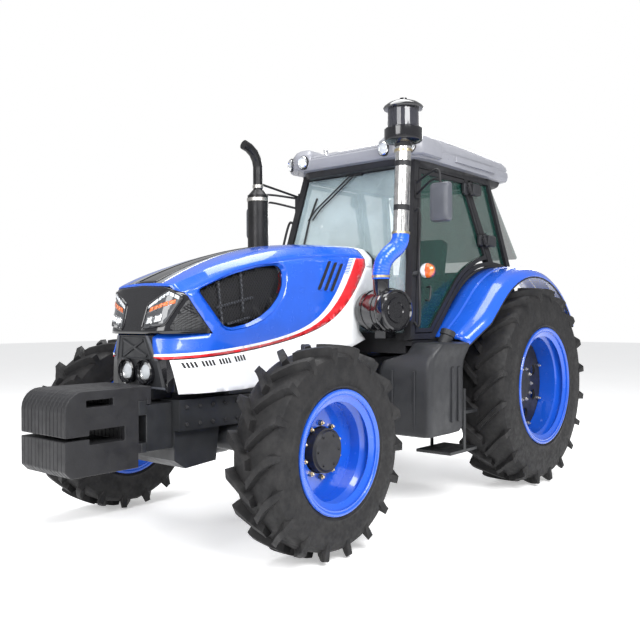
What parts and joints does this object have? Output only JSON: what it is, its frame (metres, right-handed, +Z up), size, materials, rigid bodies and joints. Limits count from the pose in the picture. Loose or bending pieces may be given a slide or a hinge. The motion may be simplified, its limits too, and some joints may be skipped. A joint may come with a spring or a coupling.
{
  "type": "farm tractor",
  "caption": "Four-wheel-drive farm tractor with a glazed cab, sloping hood, front weights, lugged tyres, steering front axle, opening doors and rear linkage.",
  "frame": {"origin": "middle of the overall box, on the ground under the tyres", "axes": "+X forward, +Y to the operator's left, +Z up"},
  "size_m": [5.175, 2.446, 3.145],
  "materials": {
    "blue_paint": "gloss paint",
    "white_paint": "gloss paint",
    "grey_paint": "satin paint",
    "chassis_paint": "satin paint",
    "black_iron": "black paint",
    "black_plastic": "matt",
    "trim_black": "gloss",
    "tyre_rubber": "rubber",
    "stainless": "polished",
    "machined_steel": "plain",
    "tint_glass": "clear, green tint",
    "lamp_glass": "clear lens over reflector",
    "seat_cloth": "woven"
  },
  "bodies": {
    "chassis": {"front_frame": "chassis_paint", "weight_bracket": "chassis_paint", "front_weights": "black_iron", "engine": "chassis_paint", "gearbox": "chassis_paint", "rear_axle": "chassis_paint", "front_axle": "chassis_paint", "lamp_panel": "trim_black", "side_panels": "white_paint", "air_cleaner": "black_plastic", "intake_hose": "blue_paint", "intake_pipe": "stainless", "pre_cleaner": "black_plastic", "exhaust": "chassis_paint", "fuel_tank": "black_plastic", "side_box": "black_plastic", "steps": "black_iron", "cab_tub": "chassis_paint", "cab_frame": "trim_black", "roof": "grey_paint", "roof_lamps": "lamp_glass", "windscreen": "tint_glass", "side_glass": "tint_glass", "fender_left": "blue_paint", "fender_right": "blue_paint", "seat": "seat_cloth", "console": "black_plastic", "mirrors": "black_plastic", "marker_lamps": "lamp_glass", "drawbar": "chassis_paint"},
    "hood": {"hood_shell": "blue_paint", "nose_mask": "trim_black", "headlamps": "lamp_glass"},
    "knuckle_left": {"knuckle_left": "chassis_paint"},
    "knuckle_right": {"knuckle_right": "chassis_paint"},
    "tie_rod": {"tie_rod": "machined_steel"},
    "wheel_fl": {"tyre_fl": "tyre_rubber", "rim_fl": "blue_paint", "hub_fl": "black_iron"},
    "wheel_fr": {"tyre_fr": "tyre_rubber", "rim_fr": "blue_paint", "hub_fr": "black_iron"},
    "wheel_rl": {"tyre_rl": "tyre_rubber", "rim_rl": "blue_paint", "hub_rl": "black_iron"},
    "wheel_rr": {"tyre_rr": "tyre_rubber", "rim_rr": "blue_paint", "hub_rr": "black_iron"},
    "door_left": {"door_left": "trim_black", "door_glass_left": "tint_glass"},
    "door_right": {"door_right": "trim_black", "door_glass_right": "tint_glass"},
    "rear_window": {"rear_window": "tint_glass"},
    "steering_wheel": {"steering_wheel": "black_plastic"},
    "pto": {"pto_shaft": "machined_steel"},
    "lower_links": {"lower_links": "chassis_paint"},
    "lift_arms": {"lift_arms": "chassis_paint"},
    "lift_rods": {"lift_rods": "machined_steel"}
  },
  "joints": [
    {"name": "steer_left", "type": "hinge", "parent": "chassis", "child": "knuckle_left", "pos_m": [1.3275, 0.79, 0.65], "axis": [0, 0, 1], "range_deg": [-40, 40]},
    {"name": "steer_right", "type": "hinge", "parent": "chassis", "child": "knuckle_right", "pos_m": [1.3275, -0.79, 0.65], "axis": [0, 0, 1], "range_deg": [-40, 40]},
    {"name": "tie_rod_turn", "type": "hinge", "parent": "knuckle_left", "child": "tie_rod", "pos_m": [1.1175, 0.79, 0.58], "axis": [0, 0, 1], "range_deg": [-40, 40]},
    {"name": "wheel_fl_spin", "type": "hinge", "parent": "knuckle_left", "child": "wheel_fl", "pos_m": [1.3275, 1.032, 0.65], "axis": [0, 1, 0], "continuous": true},
    {"name": "wheel_fr_spin", "type": "hinge", "parent": "knuckle_right", "child": "wheel_fr", "pos_m": [1.3275, -1.032, 0.65], "axis": [0, 1, 0], "continuous": true},
    {"name": "wheel_rl_spin", "type": "hinge", "parent": "chassis", "child": "wheel_rl", "pos_m": [-1.5125, 0.992, 0.86], "axis": [0, 1, 0], "continuous": true},
    {"name": "wheel_rr_spin", "type": "hinge", "parent": "chassis", "child": "wheel_rr", "pos_m": [-1.5125, -0.992, 0.86], "axis": [0, 1, 0], "continuous": true},
    {"name": "hood_lift", "type": "hinge", "parent": "chassis", "child": "hood", "pos_m": [0.1825, 0, 1.985], "axis": [0, -1, 0], "range_deg": [0, 50]},
    {"name": "door_left_swing", "type": "hinge", "parent": "chassis", "child": "door_left", "pos_m": [-1.31204, 0.68519, 2.30351], "axis": [0.3535, -0.1172, 0.9281], "range_deg": [0, 65]},
    {"name": "door_right_swing", "type": "hinge", "parent": "chassis", "child": "door_right", "pos_m": [-1.31204, -0.68519, 2.30351], "axis": [-0.3535, -0.1172, -0.9281], "range_deg": [0, 65]},
    {"name": "rear_window_swing", "type": "hinge", "parent": "chassis", "child": "rear_window", "pos_m": [-1.6645, 0, 2.715], "axis": [0, 1, 0], "range_deg": [-17, 40]},
    {"name": "steering_wheel_turn", "type": "hinge", "parent": "chassis", "child": "steering_wheel", "pos_m": [-0.5745, 0, 1.86], "axis": [-0.6884, 0, 0.7254], "continuous": true},
    {"name": "pto_spin", "type": "hinge", "parent": "chassis", "child": "pto", "pos_m": [-1.8125, 0, 0.76], "axis": [1, 0, 0], "continuous": true},
    {"name": "linkage_lift", "type": "hinge", "parent": "chassis", "child": "lower_links", "pos_m": [-1.6625, 0, 0.56], "axis": [0, 1, 0], "range_deg": [-14, 24]},
    {"name": "lift_arm_turn", "type": "hinge", "parent": "chassis", "child": "lift_arms", "pos_m": [-1.8025, 0, 1.08], "axis": [0, 1, 0], "range_deg": [-14, 24]},
    {"name": "lift_rod_turn", "type": "hinge", "parent": "lift_arms", "child": "lift_rods", "pos_m": [-2.1325, 0, 1.08], "axis": [0, 1, 0], "range_deg": [-24, 14]}
  ],
  "couplings": [
    {"joint": "steer_right", "follows": "steer_left", "ratio": 1},
    {"joint": "tie_rod_turn", "follows": "steer_left", "ratio": -1},
    {"joint": "lift_arm_turn", "follows": "linkage_lift", "ratio": 1},
    {"joint": "lift_rod_turn", "follows": "linkage_lift", "ratio": -1}
  ]
}
